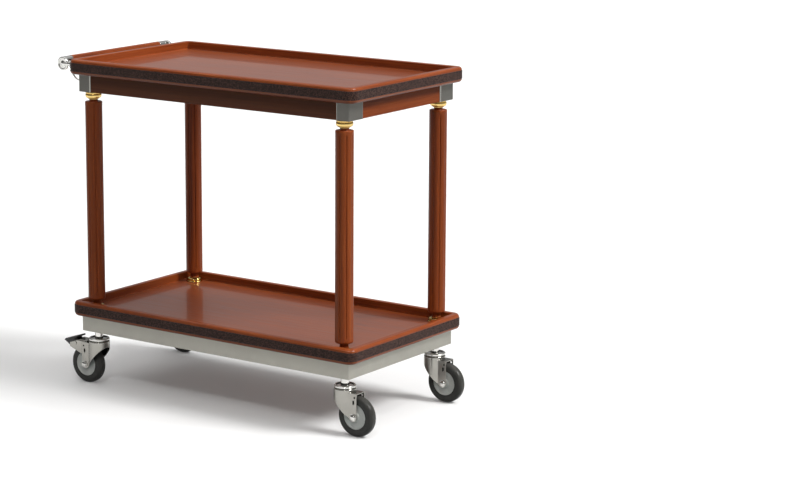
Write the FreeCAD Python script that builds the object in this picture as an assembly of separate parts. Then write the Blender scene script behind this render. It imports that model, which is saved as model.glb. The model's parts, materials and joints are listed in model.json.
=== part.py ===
import FreeCAD
import Part

import math
import os

# Serving trolley: two identical trays on four reeded legs, a steel chassis,
# four swivel casters and a push handle. Millimetres, +X along the trolley with
# the handle at the -X end, +Z up. The origin is on the floor, under the middle
# of the whole length, handle and casters included.

# Overall
tray_length = 880.0
tray_width = 480.0
overall_height = 840.0

# Clearances
overrun = 5.0
running_gap = 0.05
body_gap = 0.3

# Tray edge moulding, bumper band and deck
corner_radius = 25.0
moulding_round = 7.5
moulding_inner_round = 2.5
moulding_width = 20.0
inner_corner_radius = 4.0
ledge_width = 14.0
ledge_height = 7.0
deck_thickness = 17.5
band_margin = 8.0
band_height = 21.5
band_proud = 1.0
band_seat_depth = 4.0
band_round = 1.0

# Apron: rails between hollow corner blocks
apron_overhang_x = 23.5
apron_overhang_y = 20.5
apron_height = 44.0
rail_thickness = 18.0
rail_setback = 2.5
block_length = 38.0
block_width = 57.0
block_wall = 2.0
block_floor = 4.0
block_round = 3.0

# Legs, brass collars and tie rods
leg_inset_x = 52.5
leg_inset_y = 43.0
leg_radius = 22.0
leg_reed_count = 8
leg_groove_width = 3.0
leg_groove_depth = 1.8
leg_reed_fall = 0.6
leg_shoulder = 9.0
shoulder_round = 2.0
neck_radius = 10.6
neck_foot_radius = 12.0
neck_height = 7.5
collar_radius = 20.0
collar_flange = 3.0
collar_groove = 1.2
collar_groove_radius = 18.0
collar_bead = 12.8
collar_bead_crest = 5.3
collar_mouth = 1.0
collar_mouth_radius = 13.0
rod_radius = 4.0
rod_clearance = 0.3
rod_stick_out = 3.0
rod_nut_across_flats = 13.0
rod_nut_height = 6.5

# Chassis under the lower tray
chassis_overhang_x = 22.0
chassis_overhang_y = 19.0
chassis_height = 40.5
chassis_sheet = 2.0
chassis_bend_radius = 3.0
top_flange_width = 45.0
bottom_flange_width = 15.0
caster_plate_length = 70.0
caster_plate_width = 60.0
caster_plate_thickness = 4.0
chassis_screw_radius = 2.5
chassis_screw_head_radius = 5.0
chassis_screw_head = 2.5
chassis_screw_length = 12.0
chassis_screw_spacing = 250.0

# Casters
caster_inset_x = 53.0
caster_inset_y = 48.0
wheel_radius = 50.0
trail = 36.0
tyre_half_width = 12.0
tyre_round = 9.0
tyre_thickness = 19.0
hub_rim_thickness = 2.5
hub_dish = 1.0
hub_round = 1.0
hub_boss_radius = 13.0
bush_radius = 9.0
axle_radius = 4.0
axle_flange_radius = 8.5
axle_flange = 1.2
axle_head_radius = 7.0
axle_head = 5.0
axle_head_dome = 2.0
fork_inner_half_width = 15.0
fork_sheet = 2.0
fork_crown_clearance = 5.5
fork_crown = 2.5
fork_head_radius = 27.2
fork_front_drop = 4.5
fork_behind_axle = 9.0
fork_tip_radius = 11.0
race_height = 7.5
race_round = 3.0
race_gap = 0.6
fork_slot_length = 10.5
fork_slot_width = 5.0
fork_slot_inset = 9.0
fork_slot_below_crown = 19.5
fork_hole_radius = 2.3
fork_hole_inset = 6.0
fork_hole_below_crown = 7.0
swivel_cap_height = 7.0
swivel_cap_round = 2.0
swivel_cap_recess = 2.5
swivel_cap_lip = 5.0
stem_collar_radius = 10.5
stem_collar_height = 21.4
stem_flange_radius = 19.0
stem_flange = 2.6
stem_thread_radius = 5.0
stem_thread_above_plate = 13.5
stem_nut_across_flats = 17.0
stem_nut_height = 8.0
kingpin_radius = 6.0
kingpin_head_radius = 9.0
kingpin_head = 2.0

# Brake housing and pedal, on the two casters at the handle end
housing_start = 28.0
housing_length = 35.0
housing_height = 4.5
housing_bend_radius = 4.0
cheek_reach = 49.5
cheek_depth = 31.0
cheek_tip_drop = 17.5
cheek_tip_height = 10.5
pedal_pivot_reach = 30.0
pedal_pivot_below_crown = 6.5
pedal_pin_radius = 3.0
pedal_pin_head_radius = 4.0
pedal_pin_head = 1.5
pedal_boss_radius = 6.0
pedal_side_gap = 0.6
pedal_heel = 10.0
pedal_rise = 15.5
pedal_reach = 38.0
pedal_thickness = 5.0
pedal_slope_degrees = 18.0
pedal_tread_length = 43.0
pedal_tread_half_width = 17.0
pedal_round = 3.0
spur_reach = 14.0
spur_drop = 14.5

# Push handle
handle_standoff = 44.0
handle_radius = 9.5
handle_reed_count = 10
handle_groove_width = 1.6
handle_groove_depth = 1.0
handle_reed_fall = 0.4
tenon_radius = 5.5
tenon_length = 14.0
ferrule_radius = 9.0
ferrule_length = 27.5
bracket_inset = 36.0
eye_radius = 17.5
eye_thickness = 9.0
eye_inset = 3.5
eye_drop = 17.5
eye_rim = 6.0
eye_dish = 2.5
eye_button_radius = 8.0
post_radius = 5.0
post_flange_radius = 7.5
post_flange = 3.0
post_stud_radius = 3.0
post_stud_length = 14.0
stay_radius = 2.2
stay_start = 13.0
stay_start_drop = 3.4
stay_drop = 55.5
stay_bend_radius = 25.0
stay_run = 20.0
stay_foot_radius = 6.0
stay_foot = 2.5
stay_screw_radius = 2.0
stay_screw_head_radius = 3.8
stay_screw_head = 2.2
stay_screw_bite = 7.0

# Heights, from the floor up and from the rim down
crown_bottom = 2 * wheel_radius + fork_crown_clearance
crown_top = crown_bottom + fork_crown
race_top = crown_top + race_height
cap_bottom = race_top + race_gap
cap_top = cap_bottom + swivel_cap_height
plate_bottom = cap_top + stem_collar_height
plate_top = plate_bottom + caster_plate_thickness
chassis_bottom = plate_bottom - chassis_sheet
lower_tray_bottom = chassis_bottom + chassis_height
lower_deck_top = lower_tray_bottom + deck_thickness
moulding_height = 2 * band_margin + band_height
upper_tray_bottom = overall_height - moulding_height
apron_bottom = upper_tray_bottom - apron_height
collar_height = collar_flange + collar_groove + collar_bead + collar_mouth
handle_z = overall_height - handle_radius
eye_z = overall_height - eye_drop
stay_foot_z = overall_height - stay_drop

# Places in plan, from the middle of the trays
half_length = tray_length / 2
half_width = tray_width / 2
apron_half_length = half_length - apron_overhang_x
apron_half_width = half_width - apron_overhang_y
chassis_half_length = half_length - chassis_overhang_x
chassis_half_width = half_width - chassis_overhang_y
leg_x = half_length - leg_inset_x
leg_y = half_width - leg_inset_y
caster_x = half_length - caster_inset_x
caster_y = half_width - caster_inset_y
handle_x = -half_length - handle_standoff
eye_x = handle_x + eye_inset
bracket_y = half_width - bracket_inset
ferrule_end = bracket_y - eye_thickness / 2
handle_half_length = ferrule_end - ferrule_length
fork_outer_half_width = fork_inner_half_width + fork_sheet
fork_back = trail + fork_behind_axle
hub_radius = wheel_radius - tyre_thickness
pedal_pin_x = trail + pedal_pivot_reach
pedal_pin_z = crown_top - pedal_pivot_below_crown
far_reach = caster_x + trail + wheel_radius
handle_reach = eye_radius - eye_x
origin_x = (far_reach - handle_reach) / 2

corners = {"fl": (-1, -1), "fr": (1, -1), "bl": (-1, 1), "br": (1, 1)}
braked_corners = ("fl", "bl")

X = FreeCAD.Vector(1, 0, 0)
Y = FreeCAD.Vector(0, 1, 0)
Z = FreeCAD.Vector(0, 0, 1)
ORIGIN = FreeCAD.Vector(0, 0, 0)
HALF_RIGHT = math.radians(45)


def point(x, y, z):
    return FreeCAD.Vector(x, y, z)


def box(x0, x1, y0, y1, z0, z1):
    return Part.makeBox(x1 - x0, y1 - y0, z1 - z0, point(x0, y0, z0))


def rod(radius, start, end):
    """A cylinder between two points."""
    along = end - start
    return Part.makeCylinder(radius, along.Length, start, along)


def upright(radius, low, high):
    """A cylinder on the Z axis."""
    return rod(radius, point(0, 0, low), point(0, 0, high))


def moved(shape, x=0, y=0, z=0):
    copy = shape.copy()
    copy.translate(point(x, y, z))
    return copy


def mirrored(shape, sx, sy):
    """A copy on the side of the trolley that the two signs give."""
    if sx < 0:
        shape = shape.mirror(ORIGIN, X)
    if sy < 0:
        shape = shape.mirror(ORIGIN, Y)
    return shape


def outline(start, steps, place):
    """A closed wire: a step is an end point, or a (middle, end) pair for an arc."""
    edges = []
    here = start
    for step in steps + [start]:
        if isinstance(step[0], tuple):
            middle, end = step
            edges.append(Part.Arc(place(*here), place(*middle), place(*end)).toShape())
        else:
            end = step
            if math.dist(here, end) > 0:
                edges.append(Part.LineSegment(place(*here), place(*end)).toShape())
        here = end
    return Part.Wire(edges)


def turned(start, steps):
    """A solid of revolution about Z from an outline in (radius, height)."""
    wire = outline(start, steps, lambda radius, height: point(radius, 0, height))
    return Part.Face(wire).revolve(ORIGIN, Z, 360)


def plan_prism(start, steps, low, high):
    """An outline in (X, Y), from Z = low to Z = high."""
    face = Part.Face(outline(start, steps, lambda x, y: point(x, y, low)))
    return face.extrude(point(0, 0, high - low))


def side_prism(start, steps, left, right):
    """An outline in (X, Z), from Y = left to Y = right."""
    face = Part.Face(outline(start, steps, lambda x, z: point(x, left, z)))
    return face.extrude(point(0, right - left, 0))


def upright_edges(shape):
    return [edge for edge in shape.Edges
            if edge.BoundBox.ZLength > max(edge.BoundBox.XLength, edge.BoundBox.YLength)]


def slab(half_x, half_y, radius, low, high):
    """A plate with four rounded corners, about the Z axis."""
    plate = box(-half_x, half_x, -half_y, half_y, low, high)
    return plate.makeFillet(radius, upright_edges(plate))


def edges_at(shape, height):
    """The edges that lie in the level plane at this height."""
    return [edge for edge in shape.Edges
            if abs(edge.BoundBox.ZMin - height) < running_gap
            and abs(edge.BoundBox.ZMax - height) < running_gap]


def dome(radius, rise):
    """Half way down a round cap: the distance from the axis, and the height above the cap's rim."""
    ball = (radius ** 2 + rise ** 2) / (2 * rise)
    out = radius / 2
    return out, rise - ball + math.sqrt(ball ** 2 - out ** 2)


def reeded_section(radius, groove_width, groove_depth, fall, count):
    """A face of rounded reeds with a narrow groove between them, the first groove on +X."""
    brow = radius - fall
    pitch = 2 * math.pi / count
    half_groove = math.asin(groove_width / 2 / brow)
    arcs = []
    for number in range(count):
        groove = number * pitch
        polar = [
            (brow, groove - half_groove),
            (radius - groove_depth, groove),
            (brow, groove + half_groove),
            (radius, groove + pitch / 2),
            (brow, groove + pitch - half_groove)]
        marks = [point(r * math.cos(a), r * math.sin(a), 0) for r, a in polar]
        arcs.append(Part.Arc(*marks[:3]).toShape())
        arcs.append(Part.Arc(*marks[2:]).toShape())
    return Part.Face(Part.Wire(arcs))


def nut(across_flats, height, bore):
    """A hexagon nut at height 0, two of its flats square to X."""
    reach = across_flats / math.sqrt(3)
    turns = [math.radians(30 + 60 * number) for number in range(6)]
    points = [(reach * math.cos(turn), reach * math.sin(turn)) for turn in turns]
    return plan_prism(points[0], points[1:], 0, height).cut(upright(bore, 0, height))


def drilled(shape, radius, places, low, high):
    """A shape with an upright hole at each place."""
    for x, y in places:
        shape = shape.cut(moved(upright(radius, low, high), x, y))
    return shape


def four_places(x, y):
    return [(sx * x, sy * y) for sx, sy in corners.values()]


def copies(shape, places):
    """One group of the same solid at each place."""
    return Part.makeCompound([moved(shape, x, y) for x, y in places])


# Trays
def tray_moulding(bottom):
    """The whole edge moulding of a tray, before it is cut into four mitred sides."""
    top = bottom + moulding_height
    band_low = bottom + band_margin
    band_high = band_low + band_height
    outside = slab(half_length - band_proud, half_width - band_proud, corner_radius - band_proud,
                   bottom, top)
    outside = outside.makeFillet(moulding_round, edges_at(outside, bottom) + edges_at(outside, top))
    recess = slab(half_length - moulding_width, half_width - moulding_width, inner_corner_radius,
                  bottom + ledge_height, top + overrun)
    ledge_edge = moulding_width + ledge_width
    below = slab(half_length - ledge_edge, half_width - ledge_edge, inner_corner_radius,
                 bottom - overrun, bottom + ledge_height + overrun)
    seat_edge = band_seat_depth + band_proud
    groove = slab(half_length + overrun, half_width + overrun, corner_radius + overrun,
                  band_low, band_high)
    core = slab(half_length - seat_edge, half_width - seat_edge, corner_radius - seat_edge,
                band_low, band_high)
    ring = outside.cut(recess).cut(below).cut(groove.cut(core))
    inner_limit = half_width - moulding_width + running_gap
    inner_edges = [edge for edge in edges_at(ring, top) if edge.BoundBox.YMax < inner_limit
                   and edge.BoundBox.YMin > -inner_limit]
    return ring.makeFillet(moulding_inner_round, inner_edges)


def mitred(ring, half_x, half_y, low, high):
    """The four sides of a ring of this half length and half width, cut apart at 45 degrees."""
    reach = half_y / 2
    wide_x = half_x + overrun
    wide_y = half_y + overrun
    narrow_x = half_x - reach
    narrow_y = half_y - reach
    sides = {}
    for name, side in (("front", -1), ("back", 1)):
        wedge = plan_prism((-wide_x, side * wide_y), [
            (wide_x, side * wide_y),
            (narrow_x, side * narrow_y),
            (-narrow_x, side * narrow_y)], low - overrun, high + overrun)
        sides[name] = ring.common(wedge)
    for name, side in (("handle_end", -1), ("far_end", 1)):
        wedge = plan_prism((side * wide_x, -wide_y), [
            (side * wide_x, wide_y),
            (side * narrow_x, narrow_y),
            (side * narrow_x, -narrow_y)], low - overrun, high + overrun)
        sides[name] = ring.common(wedge)
    return sides


def bumper_band(bottom):
    """The band that runs round the tray in the moulding's groove."""
    low = bottom + band_margin
    high = low + band_height
    seat_edge = band_seat_depth + band_proud
    outside = slab(half_length, half_width, corner_radius, low, high)
    outside = outside.makeFillet(band_round, edges_at(outside, low) + edges_at(outside, high))
    inside = slab(half_length - seat_edge, half_width - seat_edge, corner_radius - seat_edge,
                  low - overrun, high + overrun)
    return outside.cut(inside)


def deck(bottom):
    """A plywood panel, rebated below so that it sits on the moulding's ledge and ends flush with it."""
    edge = moulding_width
    inner_edge = edge + ledge_width
    ledge_top = bottom + ledge_height
    panel = slab(half_length - edge, half_width - edge, inner_corner_radius,
                 ledge_top, bottom + deck_thickness)
    below = slab(half_length - inner_edge, half_width - inner_edge, inner_corner_radius,
                 bottom, ledge_top)
    return panel.fuse(below).removeSplitter()


def post_bores():
    """Bores in the upper tray's end for the studs of the two handle posts."""
    start = -half_length - overrun
    end = -half_length + post_stud_length
    return [rod(post_stud_radius + running_gap, point(start, side * bracket_y, eye_z),
                point(end, side * bracket_y, eye_z)) for side in (-1, 1)]


def make_trays(nodes):
    for name, bottom in (("upper", upper_tray_bottom), ("lower", lower_tray_bottom)):
        ring = tray_moulding(bottom)
        band = bumper_band(bottom)
        panel = deck(bottom)
        if name == "upper":
            ring = ring.cut(post_bores())
            band = band.cut(post_bores())
        else:
            panel = drilled(panel, rod_radius + rod_clearance, four_places(leg_x, leg_y),
                            bottom - overrun, bottom + moulding_height)
            panel = drilled(panel, chassis_screw_radius, screw_places(),
                            bottom - overrun, bottom - chassis_sheet + chassis_screw_length)
        sides = mitred(ring, half_length, half_width, bottom, bottom + moulding_height)
        for side_name, side in sides.items():
            nodes[f"{name}_moulding_{side_name}"] = side
        nodes[f"{name}_bumper_band"] = band
        nodes[f"{name}_deck"] = panel


# Apron
def corner_block():
    """A hollow steel block, open at the top, its three outer upright edges rounded."""
    x_in = apron_half_length - block_length
    y_in = apron_half_width - block_width
    block = box(x_in, apron_half_length, y_in, apron_half_width, apron_bottom, upper_tray_bottom)
    outer_edges = [edge for edge in upright_edges(block)
                   if edge.BoundBox.XMax + edge.BoundBox.YMax > x_in + y_in + block_wall]
    block = block.makeFillet(block_round, outer_edges)
    hollow = box(x_in + block_wall, apron_half_length - block_wall, y_in + block_wall,
                 apron_half_width - block_wall, apron_bottom + block_floor, upper_tray_bottom + overrun)
    block = block.cut(hollow.makeFillet(block_round - block_wall, upright_edges(hollow)))
    return drilled(block, rod_radius + rod_clearance, [(leg_x, leg_y)],
                   apron_bottom - overrun, apron_bottom + block_floor + overrun)


def make_apron(nodes):
    block = corner_block()
    screw_bore = rod(stay_screw_radius + running_gap,
                     point(apron_half_length - block_wall - overrun, bracket_y, stay_foot_z),
                     point(apron_half_length + overrun, bracket_y, stay_foot_z))
    for name, (sx, sy) in corners.items():
        bored = block.cut(screw_bore) if sx < 0 else block
        nodes[f"corner_block_{name}"] = mirrored(bored, sx, sy)
    long_reach = apron_half_length - block_length
    short_reach = apron_half_width - block_width
    y_out = apron_half_width - rail_setback
    x_out = apron_half_length - rail_setback
    long_rail = box(-long_reach, long_reach, y_out - rail_thickness, y_out,
                    apron_bottom, upper_tray_bottom)
    short_rail = box(x_out - rail_thickness, x_out, -short_reach, short_reach,
                     apron_bottom, upper_tray_bottom)
    nodes["apron_rail_front"] = mirrored(long_rail, 1, -1)
    nodes["apron_rail_back"] = long_rail
    nodes["apron_rail_handle_end"] = mirrored(short_rail, -1, 1)
    nodes["apron_rail_far_end"] = short_rail


# Legs
def collar():
    """A turned brass collar, its flange at height 0 and its mouth at the top."""
    bore = rod_radius + rod_clearance
    lip = collar_flange / 2
    bead_low = collar_flange + collar_groove
    bead_high = bead_low + collar_bead
    return turned((bore, 0), [
        (collar_radius - lip, 0),
        ((collar_radius, lip), (collar_radius - lip, collar_flange)),
        (collar_groove_radius, collar_flange),
        (collar_groove_radius, bead_low),
        ((collar_radius, bead_low + collar_bead_crest), (collar_mouth_radius, bead_high)),
        (collar_mouth_radius, collar_height),
        (bore, collar_height)])


def leg(bottom, length):
    """A reeded leg with a smooth shoulder and a waisted neck at each end, bored for its tie rod."""
    reeds_low = neck_height + leg_shoulder
    reeds_high = length - reeds_low
    face = reeded_section(leg_radius, leg_groove_width, leg_groove_depth, leg_reed_fall,
                          leg_reed_count)
    reeds = moved(face, 0, 0, reeds_low).extrude(point(0, 0, reeds_high - reeds_low))
    slack = shoulder_round * (1 - math.sin(HALF_RIGHT))
    end = turned((0, 0), [
        (neck_foot_radius, 0),
        ((neck_radius, neck_height / 2), (neck_foot_radius, neck_height)),
        (leg_radius - shoulder_round, neck_height),
        ((leg_radius - slack, neck_height + slack), (leg_radius, neck_height + shoulder_round)),
        (leg_radius, reeds_low - shoulder_round),
        ((leg_radius - slack, reeds_low - slack), (leg_radius - shoulder_round, reeds_low)),
        (0, reeds_low)])
    other_end = end.mirror(point(0, 0, length / 2), Z)
    whole = reeds.fuse([end, other_end])
    whole = whole.cut(upright(rod_radius + rod_clearance, -overrun, length + overrun))
    return moved(whole, 0, 0, bottom)


def make_legs(nodes):
    places = four_places(leg_x, leg_y)
    leg_bottom = lower_deck_top + collar_height
    one_leg = leg(leg_bottom, apron_bottom - collar_height - leg_bottom)
    for name, (sx, sy) in corners.items():
        nodes[f"leg_{name}"] = moved(one_leg, sx * leg_x, sy * leg_y)
    feet = copies(moved(collar(), 0, 0, lower_deck_top), places)
    heads = copies(moved(collar().mirror(ORIGIN, Z), 0, 0, apron_bottom), places)
    nodes["leg_collars"] = Part.makeCompound(feet.Solids + heads.Solids)


def make_fixings(nodes):
    """Tie rods through the legs, with a nut on each end, and the nuts of the caster stems."""
    places = four_places(leg_x, leg_y)
    lower_nut = lower_tray_bottom - chassis_sheet - rod_nut_height
    upper_nut = apron_bottom + block_floor
    tie_rod = upright(rod_radius, lower_nut - rod_stick_out, upper_nut + rod_nut_height + rod_stick_out)
    nodes["tie_rods"] = copies(tie_rod, places)
    rod_nut = nut(rod_nut_across_flats, rod_nut_height, rod_radius)
    nuts = [moved(rod_nut, x, y, seat) for seat in (lower_nut, upper_nut) for x, y in places]
    stem_nut = nut(stem_nut_across_flats, stem_nut_height, stem_thread_radius)
    stem_nuts = copies(moved(stem_nut, 0, 0, plate_top), four_places(caster_x, caster_y))
    nodes["frame_nuts"] = Part.makeCompound(nuts + stem_nuts.Solids)


# Chassis
def flange_ring(width, low, high):
    """A level ring that runs round the inside of the chassis."""
    outer = slab(chassis_half_length, chassis_half_width, chassis_bend_radius, low, high)
    inner = slab(chassis_half_length - width, chassis_half_width - width, chassis_bend_radius - chassis_sheet,
                 low - overrun, high + overrun)
    return outer.cut(inner)


def screw_places():
    """Three screws along each long flange and one in each end flange."""
    inset = chassis_sheet + top_flange_width / 2
    y = chassis_half_width - inset
    x = chassis_half_length - inset
    along = [(number * chassis_screw_spacing, side * y) for number in (-1, 0, 1) for side in (-1, 1)]
    return along + [(side * x, 0) for side in (-1, 1)]


def chassis_screw():
    """A screw with a domed head below height 0."""
    radius = chassis_screw_head_radius
    out, height = dome(radius, chassis_screw_head)
    head = turned((0, 0), [(radius, 0), ((out, -height), (0, -chassis_screw_head))])
    return head.fuse(upright(chassis_screw_radius, 0, chassis_screw_length))


def make_chassis(nodes):
    """Four channel rails, each welded up from a wall and two flanges, mitred and welded at the corners."""
    top = lower_tray_bottom
    underside = top - chassis_sheet
    wall = flange_ring(chassis_sheet, chassis_bottom, top)
    lower_flange = flange_ring(bottom_flange_width, chassis_bottom, plate_bottom).cut(wall)
    upper_flange = flange_ring(top_flange_width, underside, top).cut(wall)
    upper_flange = drilled(upper_flange, rod_radius + rod_clearance, four_places(leg_x, leg_y),
                           underside - overrun, top + overrun)
    upper_flange = drilled(upper_flange, chassis_screw_radius, screw_places(),
                           underside - overrun, top + overrun)
    strips = []
    for ring in (wall, lower_flange, upper_flange):
        strips += mitred(ring, chassis_half_length, chassis_half_width, chassis_bottom, top).values()
    nodes["chassis_frame"] = Part.makeCompound(strips)

    wall_x = chassis_half_length - chassis_sheet
    wall_y = chassis_half_width - chassis_sheet
    plate = box(wall_x - caster_plate_length, wall_x, wall_y - caster_plate_width, wall_y,
                plate_bottom, plate_top)
    corner_edges = [edge for edge in upright_edges(plate)
                    if edge.BoundBox.XMax + edge.BoundBox.YMax > wall_x + wall_y - overrun]
    plate = plate.makeFillet(chassis_bend_radius - chassis_sheet, corner_edges)
    plate = drilled(plate, stem_thread_radius, [(caster_x, caster_y)],
                    plate_bottom - overrun, plate_top + overrun)
    nodes["caster_plates"] = Part.makeCompound([mirrored(plate, sx, sy) for sx, sy in corners.values()])
    nodes["chassis_screws"] = copies(moved(chassis_screw(), 0, 0, underside), screw_places())


# Casters, built about the swivel axis with the wheel trailing towards +X
def caster_stem():
    """Thread, collar with its flange, swivel cap and kingpin, turned in one piece."""
    lip = fork_head_radius - swivel_cap_lip
    head_top = crown_bottom - running_gap
    head_low = head_top - kingpin_head
    thread_top = plate_top + stem_thread_above_plate
    return turned((0, head_low), [
        (kingpin_head_radius, head_low),
        (kingpin_head_radius, head_top),
        (kingpin_radius, head_top),
        (kingpin_radius, cap_bottom),
        (fork_head_radius - swivel_cap_round, cap_bottom),
        (fork_head_radius, cap_bottom + swivel_cap_round),
        (fork_head_radius, cap_top - swivel_cap_round),
        (fork_head_radius - swivel_cap_round, cap_top),
        (lip, cap_top),
        (lip - swivel_cap_recess, cap_top - swivel_cap_recess),
        (stem_collar_radius, cap_top - swivel_cap_recess),
        (stem_collar_radius, chassis_bottom - stem_flange),
        (stem_flange_radius, chassis_bottom - stem_flange),
        (stem_flange_radius, chassis_bottom),
        (stem_collar_radius, chassis_bottom),
        (stem_collar_radius, plate_bottom),
        (stem_thread_radius, plate_bottom),
        (stem_thread_radius, thread_top),
        (0, thread_top)])


def fork_profile():
    """The fork's side outline: a raked leading edge, tangent to the round tip below the axle."""
    start = (-fork_head_radius, crown_bottom - fork_front_drop)
    tip = (fork_back - fork_tip_radius, wheel_radius)
    reach = math.dist(start, tip)
    edge = math.sqrt(reach ** 2 - fork_tip_radius ** 2)
    aim = math.atan2(tip[1] - start[1], tip[0] - start[0]) - math.asin(fork_tip_radius / reach)
    tangent = (start[0] + edge * math.cos(aim), start[1] + edge * math.sin(aim))
    middle_turn = (aim - math.pi / 2) / 2
    middle = (tip[0] + fork_tip_radius * math.cos(middle_turn),
              tip[1] + fork_tip_radius * math.sin(middle_turn))
    wide = fork_head_radius + overrun
    high = race_top + overrun
    return side_prism(start, [
        tangent,
        (middle, (fork_back, wheel_radius)),
        (fork_back, high),
        (start[0] - overrun, high),
        (start[0] - overrun, start[1])], -wide, wide)


def fork_shell(half_width, head_radius, reach, low, high):
    """A round head joined to a straight run of the fork's width."""
    run = box(0, reach, -half_width, half_width, low, high)
    return upright(head_radius, low, high).fuse(run).removeSplitter()


def fork_slot():
    """An upright slot with round ends, through both cheeks."""
    wide = fork_head_radius + overrun
    x = fork_back - fork_slot_inset
    z = crown_bottom - fork_slot_below_crown
    half = fork_slot_width / 2
    straight = fork_slot_length / 2 - half
    return side_prism((x - half, z - straight), [
        ((x, z - straight - half), (x + half, z - straight)),
        (x + half, z + straight),
        ((x, z + straight + half), (x - half, z + straight))], -wide, wide)


def across_fork(radius, x, z):
    """A cylinder right across the fork."""
    wide = fork_head_radius + overrun
    return rod(radius, point(x, -wide, z), point(x, wide, z))


def fork():
    """A pressed fork: round head, two cheeks with a raked front, slots and a ball race on top."""
    low = wheel_radius - fork_tip_radius - overrun
    shell = fork_shell(fork_outer_half_width, fork_head_radius, fork_back + overrun, low, crown_top)
    hollow = fork_shell(fork_inner_half_width, fork_head_radius - fork_sheet, fork_back + 2 * overrun,
                        low - overrun, crown_bottom)
    slack = race_round * (1 - math.sin(HALF_RIGHT))
    race = turned((0, crown_top), [
        (fork_head_radius, crown_top),
        (fork_head_radius, race_top - race_round),
        ((fork_head_radius - slack, race_top - slack), (fork_head_radius - race_round, race_top)),
        (0, race_top)])
    body = shell.cut(hollow).fuse(race).common(fork_profile())
    body = body.cut(upright(kingpin_radius + running_gap, crown_bottom - overrun, race_top + overrun))
    body = body.cut(fork_slot())
    body = body.cut(across_fork(fork_hole_radius, fork_back - fork_hole_inset,
                                crown_bottom - fork_hole_below_crown))
    return body.cut(across_fork(axle_radius, trail, wheel_radius))


def on_axle(shape):
    """Turns a piece made about Z onto the wheel's axle."""
    copy = shape.copy()
    copy.rotate(ORIGIN, X, 90)
    copy.translate(point(trail, 0, wheel_radius))
    return copy


def axle():
    """A shank with a flanged, domed head on one end and the same form as a nut on the other."""
    flange_top = fork_outer_half_width + axle_flange
    head_side = flange_top + axle_head - axle_head_dome
    out, height = dome(axle_head_radius, axle_head_dome)
    head = turned((0, fork_outer_half_width), [
        (axle_flange_radius, fork_outer_half_width),
        (axle_flange_radius, flange_top),
        (axle_head_radius, flange_top),
        (axle_head_radius, head_side),
        ((out, head_side + height), (0, head_side + axle_head_dome))])
    shank = upright(axle_radius, -flange_top, fork_outer_half_width)
    return Part.makeCompound([on_axle(head.fuse(shank)), on_axle(head.mirror(ORIGIN, Z).cut(shank))])


def wheel_bush():
    half = fork_inner_half_width - body_gap
    return on_axle(upright(bush_radius, -half, half).cut(upright(axle_radius + running_gap, -half, half)))


def hub():
    """A moulded hub: boss, dished web and a rim with rounded outer corners."""
    boss_face = fork_inner_half_width - body_gap
    rim_face = tyre_half_width
    web_face = rim_face - hub_dish
    web_start = hub_boss_radius + hub_dish
    rim_inner = hub_radius - hub_rim_thickness
    flat = hub_radius - hub_round
    straight = rim_face - hub_round
    slack = hub_round * (1 - math.sin(HALF_RIGHT))
    return on_axle(turned((bush_radius, -boss_face), [
        (hub_boss_radius, -boss_face),
        (web_start, -web_face),
        (rim_inner, -web_face),
        (rim_inner, -rim_face),
        (flat, -rim_face),
        ((hub_radius - slack, slack - rim_face), (hub_radius, -straight)),
        (hub_radius, straight),
        ((hub_radius - slack, rim_face - slack), (flat, rim_face)),
        (rim_inner, rim_face),
        (rim_inner, web_face),
        (web_start, web_face),
        (hub_boss_radius, boss_face),
        (bush_radius, boss_face)]))


def tyre():
    """A solid tyre with rounded shoulders."""
    half = tyre_half_width
    side = wheel_radius - tyre_round
    tread = half - tyre_round
    slack = tyre_round * (1 - math.sin(HALF_RIGHT))
    return on_axle(turned((hub_radius, -half), [
        (side, -half),
        ((wheel_radius - slack, slack - half), (wheel_radius, -tread)),
        (wheel_radius, tread),
        ((wheel_radius - slack, half - slack), (side, half)),
        (hub_radius, half)]))


# Brake
def brake_housing():
    """A pressed hood on the fork's crown, with two cheeks behind the fork that carry the pedal's pin."""
    top = crown_top + housing_height
    end = housing_start + housing_length
    tip_x = trail + cheek_reach
    tip_z = crown_top - cheek_tip_drop
    low = crown_top - cheek_depth
    out = fork_outer_half_width
    inner = fork_inner_half_width
    hood = box(housing_start, end, -out, out, crown_top, top)
    bends = [edge for edge in edges_at(hood, top) if edge.BoundBox.XLength > edge.BoundBox.YLength]
    hood = hood.makeFillet(housing_bend_radius, bends)
    hood = hood.cut(box(housing_start + fork_sheet, end + overrun, -inner, inner,
                        crown_top - overrun, top - fork_sheet))
    steps = [
        (end, crown_top),
        (tip_x, tip_z + cheek_tip_height),
        (tip_x, tip_z),
        (fork_back + overrun, low),
        (fork_back, low)]
    cheeks = [side_prism((fork_back, crown_top), steps, side, side + fork_sheet) for side in (-out, inner)]
    housing = hood.fuse(cheeks).removeSplitter()
    return housing.cut(across_fork(pedal_pin_radius, pedal_pin_x, pedal_pin_z))


def pedal_pin():
    out = fork_outer_half_width
    pin = rod(pedal_pin_radius, point(pedal_pin_x, -out, pedal_pin_z),
              point(pedal_pin_x, out, pedal_pin_z))
    heads = [rod(pedal_pin_head_radius, point(pedal_pin_x, side * out, pedal_pin_z),
                 point(pedal_pin_x, side * (out + pedal_pin_head), pedal_pin_z)) for side in (-1, 1)]
    return pin.fuse(heads)


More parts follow.
